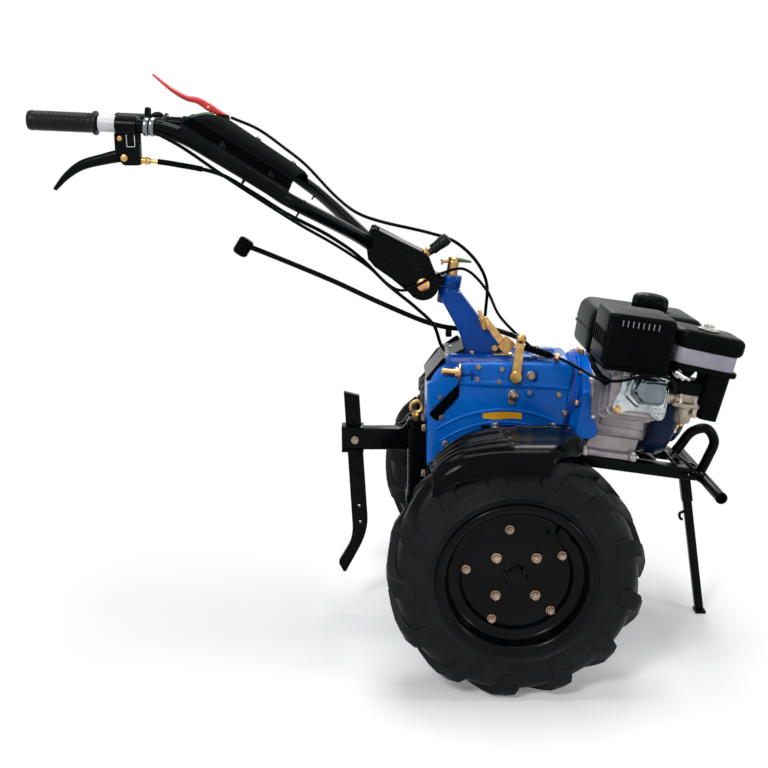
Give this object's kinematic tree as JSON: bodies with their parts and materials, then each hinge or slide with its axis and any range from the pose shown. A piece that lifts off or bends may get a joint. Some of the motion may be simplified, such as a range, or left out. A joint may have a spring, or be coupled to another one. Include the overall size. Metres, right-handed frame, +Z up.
{
  "type": "walk-behind tractor",
  "caption": "Walk-behind tractor with lugged wheels, petrol engine, gearbox, mudguards, folding stand, rear hitch bar and a handlebar that swivels and tilts.",
  "frame": {"origin": "middle of the footprint of the parked machine, on the ground", "axes": "+X forwards to the engine end, +Y to the machine's left, +Z up"},
  "size_m": [1.2533, 0.736, 1.101],
  "materials": {
    "blue_paint": "gloss",
    "blue_casting": "gloss",
    "navy_paint": "satin",
    "black_paint": "satin",
    "black_plastic": "satin",
    "muffler_black": "satin",
    "grip_rubber": "matte",
    "tyre_rubber": "matte",
    "cast_aluminium": "satin",
    "polished_steel": "polished",
    "gold_plate": "gloss",
    "red_lever": "gloss"
  },
  "bodies": {
    "chassis": {"gearbox_case": "blue_casting", "axle_housing_left": "blue_paint", "axle_housing_right": "blue_paint", "mudguard_left": "black_paint", "mudguard_right": "black_paint", "hitch_box": "black_paint", "hitch_bar": "black_paint", "depth_coulter": "black_paint", "clutch_housing": "blue_paint", "crankcase": "cast_aluminium", "cylinder_head": "cast_aluminium", "valve_cover": "polished_steel", "fan_housing": "navy_paint", "recoil_starter": "navy_paint", "fuel_tank": "black_plastic", "fuel_cap": "black_plastic", "muffler": "muffler_black", "air_cleaner": "black_plastic", "carburettor": "cast_aluminium", "engine_frame": "black_paint", "front_guard": "black_paint", "handle_column": "blue_paint", "swivel_pin": "gold_plate", "shift_rod": "black_paint", "shift_knob": "black_plastic", "shift_crank": "gold_plate", "cable_stay": "black_paint"},
    "wheel_left": {"tyre_left": "tyre_rubber", "rim_left": "black_paint", "wheel_hub_left": "black_paint", "half_shaft_left": "polished_steel"},
    "wheel_right": {"tyre_right": "tyre_rubber", "rim_right": "black_paint", "wheel_hub_right": "black_paint", "half_shaft_right": "polished_steel"},
    "stand": {"stand_leg": "black_paint"},
    "swivel": {"swivel_head": "black_paint", "tilt_bolt": "gold_plate"},
    "handlebar": {"handle_clamp": "black_paint", "handle_tube_left": "black_paint", "handle_tube_right": "black_paint", "grip_left": "grip_rubber", "grip_right": "grip_rubber", "console_panel": "black_paint", "lever_bracket_left": "black_paint", "lever_bracket_right": "black_paint", "clutch_lever_left": "red_lever", "clutch_lever_right": "black_paint", "throttle_lever": "black_paint", "tilt_lock_lever": "grip_rubber", "clutch_cable_left": "black_plastic", "clutch_cable_right": "black_plastic", "throttle_cable": "black_plastic"}
  },
  "joints": [
    {"name": "wheel_spin_left", "type": "hinge", "parent": "chassis", "child": "wheel_left", "pos_m": [0.1805, 0, 0.2275], "axis": [0, 1, 0], "continuous": true},
    {"name": "wheel_spin_right", "type": "hinge", "parent": "chassis", "child": "wheel_right", "pos_m": [0.1805, 0, 0.2275], "axis": [0, 1, 0], "continuous": true},
    {"name": "stand_fold", "type": "hinge", "parent": "chassis", "child": "stand", "pos_m": [0.5585, 0, 0.315], "axis": [0, 1, 0], "range_deg": [0, 90]},
    {"name": "handle_swivel", "type": "hinge", "parent": "chassis", "child": "swivel", "pos_m": [0.0775, 0, 0.688], "axis": [0.1392, 0, 0.9903], "range_deg": [-30, 30], "deforming": ["clutch_cable_left", "clutch_cable_right", "throttle_cable"]},
    {"name": "handle_tilt", "type": "hinge", "parent": "swivel", "child": "handlebar", "pos_m": [0.0245, 0, 0.698], "axis": [0, 1, 0], "range_deg": [-15, 15], "deforming": ["clutch_cable_left", "clutch_cable_right", "throttle_cable"]}
  ]
}
